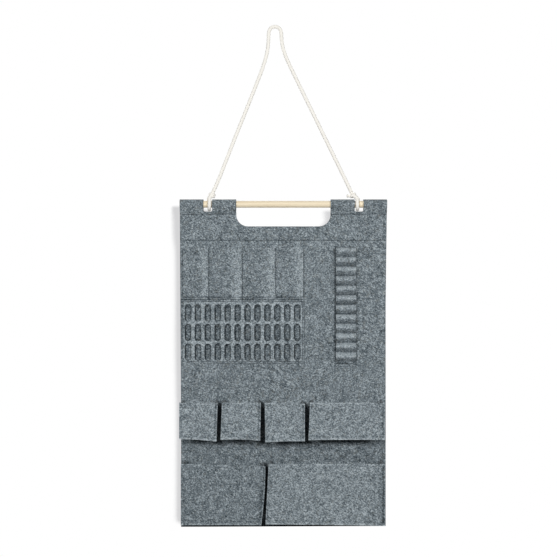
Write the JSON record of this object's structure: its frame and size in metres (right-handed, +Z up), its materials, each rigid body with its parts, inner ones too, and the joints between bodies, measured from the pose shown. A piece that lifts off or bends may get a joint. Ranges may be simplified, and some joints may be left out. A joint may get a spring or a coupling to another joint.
{
  "type": "wall organizer",
  "caption": "Felt wall panel folded over a wooden dowel and hung by a cord, with needle pockets, a slotted panel, hook loops and open box pockets.",
  "frame": {"origin": "the hanging point: underside of the cord's bend, where it bears on a nail or peg", "axes": "+Z up, +Y towards the wall, +X to the right as seen from the front"},
  "size_m": [0.456, 0.0719, 1.1001],
  "materials": {
    "felt": "mottled grey felt, cut edges, sewn",
    "wood": "pale, sanded, unvarnished",
    "cotton": "twisted natural cotton"
  },
  "bodies": {
    "hanger": {"hanging_cord": "cotton", "left_hitch": "cotton", "right_hitch": "cotton"},
    "dowel": {"dowel": "wood"},
    "organizer": {"back_panel": "felt", "needle_pocket_strip": "felt", "slot_panel": "felt", "hook_loop_strip": "felt", "middle_pocket_1_front": "felt", "middle_pocket_1_gusset": "felt", "middle_pocket_2_front": "felt", "middle_pocket_2_gusset": "felt", "middle_pocket_3_front": "felt", "middle_pocket_3_gusset": "felt", "middle_pocket_4_front": "felt", "middle_pocket_4_gusset": "felt", "bottom_pocket_left_front": "felt", "bottom_pocket_left_gusset": "felt", "bottom_pocket_right_front": "felt", "bottom_pocket_right_gusset": "felt"}
  },
  "joints": [
    {"name": "dowel_turn", "type": "hinge", "parent": "hanger", "child": "dowel", "pos_m": [0.0185, 0, -0.3875], "axis": [1, 0, 0], "continuous": true},
    {"name": "panel_swing", "type": "hinge", "parent": "hanger", "child": "organizer", "pos_m": [0.0185, 0, -0.3875], "axis": [-1, 0, 0], "range_deg": [0, 120]}
  ]
}
